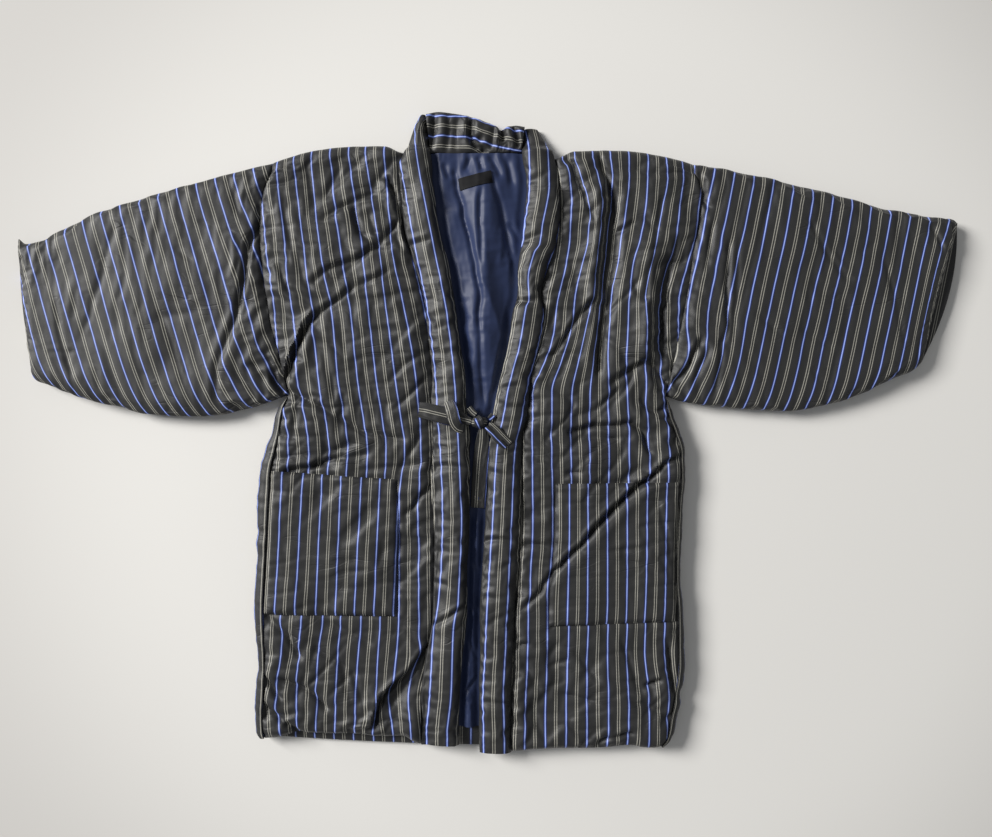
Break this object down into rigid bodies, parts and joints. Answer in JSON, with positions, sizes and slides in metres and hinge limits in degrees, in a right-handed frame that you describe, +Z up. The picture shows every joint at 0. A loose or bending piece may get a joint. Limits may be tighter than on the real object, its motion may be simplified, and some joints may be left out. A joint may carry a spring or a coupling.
{
  "type": "padded jacket",
  "caption": "Padded wrap jacket laid flat, with wide sleeves, a long collar band, patch pockets and knotted front ties.",
  "frame": {"origin": "middle of the bounding box at the floor under the garment", "axes": "+X across the garment from the wearer's right cuff to the left cuff, +Y towards the collar, +Z up from the floor"},
  "size_m": [1.3083, 0.8975, 0.0363],
  "materials": {
    "striped_cloth": "charcoal satin weave with blue and cream stripes",
    "lining_cloth": "navy lining with a soft sheen",
    "label_cloth": "plain woven label"
  },
  "bodies": {
    "root": {"back": "striped_cloth", "lining": "lining_cloth", "front_right": "striped_cloth", "front_left": "striped_cloth", "pocket_right": "striped_cloth", "pocket_left": "striped_cloth", "gusset_right": "striped_cloth", "gusset_left": "striped_cloth", "sleeve_right": "striped_cloth", "sleeve_left": "striped_cloth", "collar_right": "striped_cloth", "collar_left": "striped_cloth", "collar_neck": "striped_cloth", "tie_loop": "striped_cloth", "tie_end": "striped_cloth", "tie_tail": "striped_cloth", "tie_root_right": "striped_cloth", "tie_root_left": "striped_cloth", "tie_knot": "striped_cloth", "neck_label": "label_cloth"}
  },
  "joints": []
}
